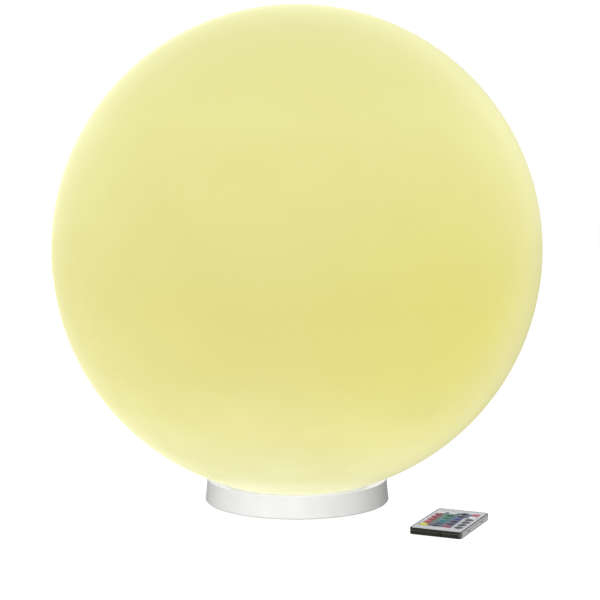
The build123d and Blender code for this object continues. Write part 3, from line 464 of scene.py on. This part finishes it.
def word_mark(name, place, text, material):
    """A printed word or letter in plain capitals."""
    curve = bpy.data.curves.new(f"word_{name}", "FONT")
    curve.body = text
    curve.size = 3.1 * mm if len(text) < 3 else 2.6 * mm
    curve.align_x = "CENTER"
    curve.align_y = "CENTER"
    curve.extrude = 0.5 * mm
    curve.resolution_u = 3
    bm = bmesh.new()
    letters = bpy.data.objects.new(f"word_{name}", curve)
    bm.from_mesh(letters.to_mesh())
    letters.to_mesh_clear()
    bpy.data.objects.remove(letters)
    bmesh.ops.remove_doubles(bm, verts=bm.verts, dist=1e-6)
    return lay_print(bm, name, place, material)


def cover_screw_set():
    """The four screws under the foot, with flat pan heads that have a tapered cross recess."""
    bm = bmesh.new()
    head, shank, arm, slot = 2.8 * mm, 1.5 * mm, 1.7 * mm, 0.42 * mm
    for turn in range(4):
        one = bmesh.new()
        bmesh.ops.create_circle(one, cap_ends=True, cap_tris=False, segments=32, radius=head)
        for x, y in ((1, 0), (0, 1)):
            for away in (-arm, -slot, slot, arm):
                everything = one.verts[:] + one.edges[:] + one.faces[:]
                bmesh.ops.bisect_plane(one, geom=everything, plane_co=(x * away, y * away, 0), plane_no=(x, y, 0))
        middles = {face: face.calc_center_median() for face in one.faces}
        cross = [face for face, at in middles.items() if min(abs(at.x), abs(at.y)) < slot and at.length < arm]
        sunk = bmesh.ops.extrude_face_region(one, geom=cross)["geom"]
        bmesh.ops.delete(one, geom=cross, context="FACES_ONLY")
        floor_points = [part for part in sunk if isinstance(part, bmesh.types.BMVert)]
        bmesh.ops.translate(one, vec=(0, 0, 0.9 * mm), verts=floor_points)
        bmesh.ops.scale(one, vec=(0.7, 0.7, 1), verts=floor_points)
        # the head's wall, its bearing face, the shank and the shank's end are drawn out of the outline one by one
        rim = [edge for edge in one.edges if edge.is_boundary]
        for radius, height in ((head, 1.3 * mm), (shank, 1.3 * mm), (shank, screw_high.z - screw_low.z)):
            grown = bmesh.ops.extrude_edge_only(one, edges=rim)["geom"]
            rim = [part for part in grown if isinstance(part, bmesh.types.BMEdge)]
            for vertex in {vertex for edge in rim for vertex in edge.verts}:
                vertex.co.xy = vertex.co.xy.normalized() * radius
                vertex.co.z = height
        bmesh.ops.edgeloop_fill(one, edges=rim)
        bmesh.ops.recalc_face_normals(one, faces=one.faces)
        outwards = Matrix.Translation((screw_high.x - head, 0, screw_low.z))
        bmesh.ops.transform(one, matrix=Matrix.Rotation(turn * math.pi / 2, 4, "Z") @ outwards, verts=one.verts)
        finished = bpy.data.meshes.new("screw")
        one.to_mesh(finished)
        one.free()
        bm.from_mesh(finished)
        bpy.data.meshes.remove(finished)
    made = piece("cover_screw_set", bm, finishes["zinc_steel"], "base")
    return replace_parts(made, "cover_screws")


cover_screw_set()
words = {"off": ("OFF", light_ink), "on": ("ON", light_ink), "red": ("R", light_ink), "green": ("G", light_ink),
         "blue": ("B", light_ink), "white": ("W", dark_ink)}
for row, names in enumerate(key_rows):
    for column, (name, colour) in enumerate(names):
        place = key_middle(row, column)
        key_dome(name, place, finishes[f"key_{name}"])
        if name in words:
            word_mark(name, place, *words[name])
sun_mark("brighter", key_middle(5, 0), 1.0 * mm)
sun_mark("dimmer", key_middle(5, 1), 0.5 * mm)


# ---- Studio: pale floor, white surround, one large key light and softer light from above and behind ----
bpy.context.scene.view_settings.view_transform = "Standard"


def studio_sheet(name, half_width, half_length, place, paint):
    """A flat sheet of the studio, which isn't part of the object."""
    bm = bmesh.new()
    bmesh.ops.create_grid(bm, x_segments=1, y_segments=1, size=1.0)
    bmesh.ops.scale(bm, vec=(half_width, half_length, 1), verts=bm.verts)
    bmesh.ops.transform(bm, matrix=place, verts=bm.verts)
    data = bpy.data.meshes.new(name)
    bm.to_mesh(data)
    bm.free()
    data.materials.append(paint)
    made = bpy.data.objects.new(name, data)
    bpy.context.scene.collection.objects.link(made)
    return made


floor_half = 6.0
floor_lift = 0.9  # seen by the camera alone, so that the ground is as white as the surround
floor_paint, tree, shader = blank("white_floor_paint")
shader.inputs["Base Color"].default_value = srgb("#8c8c8c")
shader.inputs["Roughness"].default_value = 0.9
shader.inputs["Specular IOR Level"].default_value = 0.0
shader.inputs["Emission Color"].default_value = srgb("#ffffff")
seen = add(tree, "ShaderNodeLightPath").outputs["Is Camera Ray"]
lift = add(tree, "ShaderNodeMath", {"operation": "MULTIPLY"}, i0=seen, i1=floor_lift).outputs[0]
tree.links.new(lift, shader.inputs["Emission Strength"])
studio_sheet("floor", floor_half, floor_half, Matrix.Identity(4), floor_paint)

world = bpy.data.worlds.new("studio")
bpy.context.scene.world = world
world.use_nodes = True
tree = world.node_tree
tree.nodes.clear()
rays = add(tree, "ShaderNodeLightPath").outputs
in_diffuse, in_gloss, in_view = 0.37, 0.62, 1.0
strength = add(tree, "ShaderNodeMapRange", i0=rays["Is Glossy Ray"], i1=0.0, i2=1.0, i3=in_diffuse,
               i4=in_gloss).outputs[0]
strength = add(tree, "ShaderNodeMapRange", i0=rays["Is Camera Ray"], i1=0.0, i2=1.0, i3=strength,
               i4=in_view).outputs[0]
surround = add(tree, "ShaderNodeBackground", Color=srgb("#ffffff"), Strength=strength)
add(tree, "ShaderNodeOutputWorld", Surface=surround.outputs[0])


def soft_box(name, place, aim, size, power):
    """A square area light pointed at a place, too large and soft to mirror as a spot."""
    light = bpy.data.objects.new(name, bpy.data.lights.new(name, "AREA"))
    light.data.size = size
    light.data.energy = power
    light.location = place
    light.rotation_euler = (Vector(aim) - Vector(place)).to_track_quat("-Z", "Y").to_euler()
    light.visible_camera = False
    light.visible_glossy = False
    bpy.context.scene.collection.objects.link(light)
    return light


# a lit card flat on the floor at the remote's right, seen only as the gloss on the side of its case
card_half_width, card_half_length, card_lift = 25 * mm, 60 * mm, 0.05 * mm
card_reach, card_glow = 60 * mm, 2.2
card_paint, tree, shader = blank("lit_white_card")
shader.inputs["Base Color"].default_value = srgb("#000000")
shader.inputs["Emission Color"].default_value = srgb("#ffffff")
# it is bright only to what lies within a short reach, so the ball doesn't mirror it
reach = add(tree, "ShaderNodeLightPath").outputs["Ray Length"]
near = add(tree, "ShaderNodeMath", {"operation": "LESS_THAN"}, i0=reach, i1=card_reach).outputs[0]
near = add(tree, "ShaderNodeMath", {"operation": "MULTIPLY"}, i0=near, i1=card_glow).outputs[0]
tree.links.new(near, shader.inputs["Emission Strength"])
card_place = remote_place @ Matrix.Translation((52 * mm, 0, card_lift))
card = studio_sheet("side_card", card_half_width, card_half_length, card_place, card_paint)
card.visible_camera = False
card.visible_diffuse = False
card.visible_shadow = False
card.visible_transmission = False

soft_box("key_light", (-0.62, -2.66, 0.62), (0, 0, 0.1), 0.9, 56)
soft_box("top_light", (0.1, -0.1, 2.4), (0.1, -0.1, 0), 1.6, 22)
soft_box("back_light", (-0.3, 2.6, 0.6), (0, 0, 0.1), 1.2, 36)
# the ball glows, so it neither shades what stands round it nor tints it
nodes["globe"].visible_diffuse = False
nodes["globe"].visible_glossy = False
nodes["globe"].visible_shadow = False
